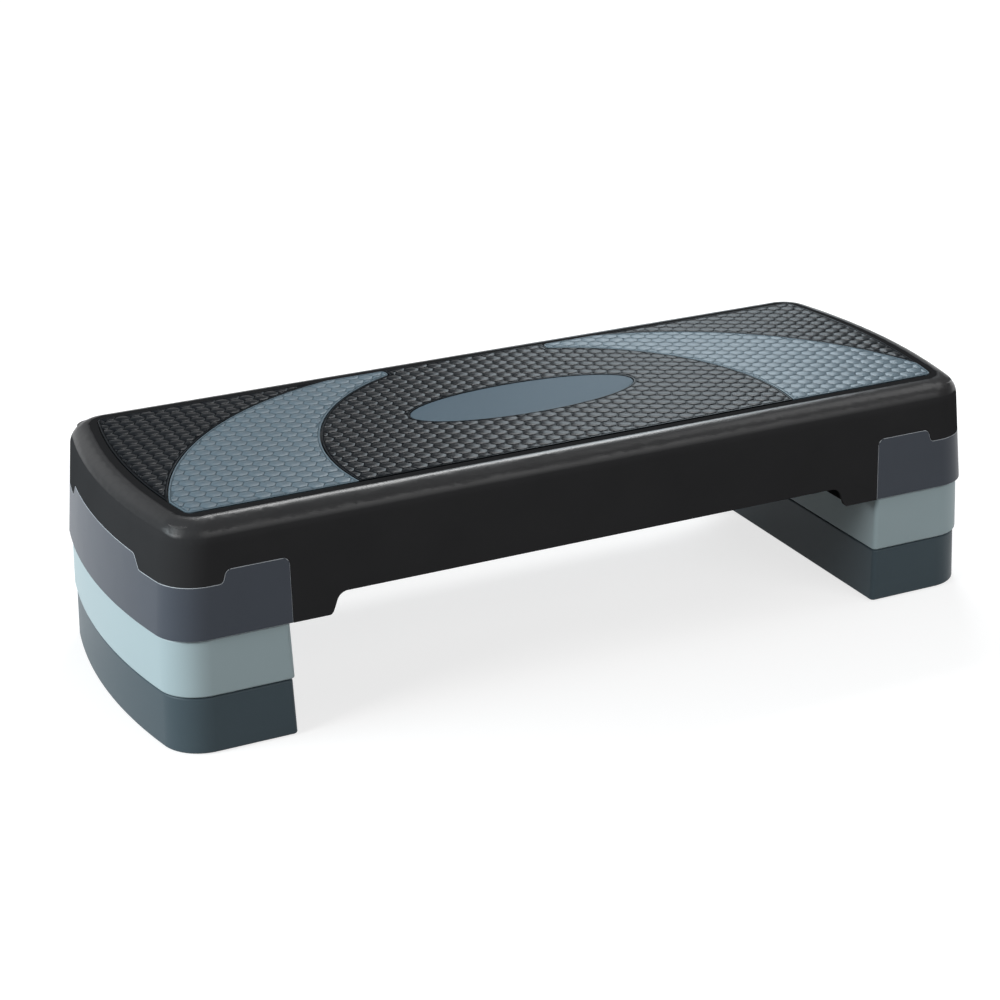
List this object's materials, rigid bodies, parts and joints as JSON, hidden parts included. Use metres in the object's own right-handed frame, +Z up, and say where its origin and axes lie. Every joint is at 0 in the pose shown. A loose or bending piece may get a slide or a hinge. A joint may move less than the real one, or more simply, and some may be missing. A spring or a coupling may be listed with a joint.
{
  "type": "aerobic step platform",
  "caption": "Stackable aerobic step: a ribbed black platform with studded treads and leg collars on two end stacks of nesting risers that lift apart to set its height.",
  "frame": {"origin": "on the floor under the middle of the platform", "axes": "+X along the platform, the front long side faces -Y, +Z up"},
  "size_m": [0.795, 0.299, 0.2],
  "materials": {
    "deck_black": "satin moulded polypropylene, fine grain",
    "tread_black": "moulded rubber with hexagonal studs",
    "tread_grey": "moulded rubber with hexagonal studs",
    "oval_grey": "smooth satin",
    "collar_grey": "satin moulded polypropylene",
    "riser_pale": "satin moulded polypropylene",
    "riser_dark": "satin moulded polypropylene",
    "foot_rubber": "matt rubber"
  },
  "bodies": {
    "lower_tier": {"left_lower_riser": "riser_dark", "right_lower_riser": "riser_dark", "left_lower_riser_foot_1": "foot_rubber", "left_lower_riser_foot_2": "foot_rubber", "left_lower_riser_foot_3": "foot_rubber", "left_lower_riser_foot_4": "foot_rubber", "right_lower_riser_foot_1": "foot_rubber", "right_lower_riser_foot_2": "foot_rubber", "right_lower_riser_foot_3": "foot_rubber", "right_lower_riser_foot_4": "foot_rubber"},
    "left_upper_tier": {"left_upper_riser": "riser_pale", "left_upper_riser_foot_1": "foot_rubber", "left_upper_riser_foot_2": "foot_rubber", "left_upper_riser_foot_3": "foot_rubber", "left_upper_riser_foot_4": "foot_rubber"},
    "right_upper_tier": {"right_upper_riser": "riser_pale", "right_upper_riser_foot_1": "foot_rubber", "right_upper_riser_foot_2": "foot_rubber", "right_upper_riser_foot_3": "foot_rubber", "right_upper_riser_foot_4": "foot_rubber"},
    "platform": {"platform_deck": "deck_black", "centre_tread": "tread_black", "left_end_tread": "tread_black", "right_end_tread": "tread_black", "left_crescent_tread": "tread_grey", "right_crescent_tread": "tread_grey", "oval_plate": "oval_grey", "left_leg_collar": "collar_grey", "right_leg_collar": "collar_grey", "left_leg_foot_1": "foot_rubber", "left_leg_foot_2": "foot_rubber", "left_leg_foot_3": "foot_rubber", "left_leg_foot_4": "foot_rubber", "right_leg_foot_1": "foot_rubber", "right_leg_foot_2": "foot_rubber", "right_leg_foot_3": "foot_rubber", "right_leg_foot_4": "foot_rubber"}
  },
  "joints": [
    {"name": "left_upper_tier_lift", "type": "slide", "parent": "lower_tier", "child": "left_upper_tier", "axis": [0, 0, 1], "range_m": [0, 0.06]},
    {"name": "right_upper_tier_lift", "type": "slide", "parent": "lower_tier", "child": "right_upper_tier", "axis": [0, 0, 1], "range_m": [0, 0.06]},
    {"name": "platform_lift", "type": "slide", "parent": "left_upper_tier", "child": "platform", "axis": [0, 0, 1], "range_m": [0, 0.06]}
  ],
  "couplings": [
    {"joint": "right_upper_tier_lift", "follows": "left_upper_tier_lift", "ratio": 1}
  ]
}
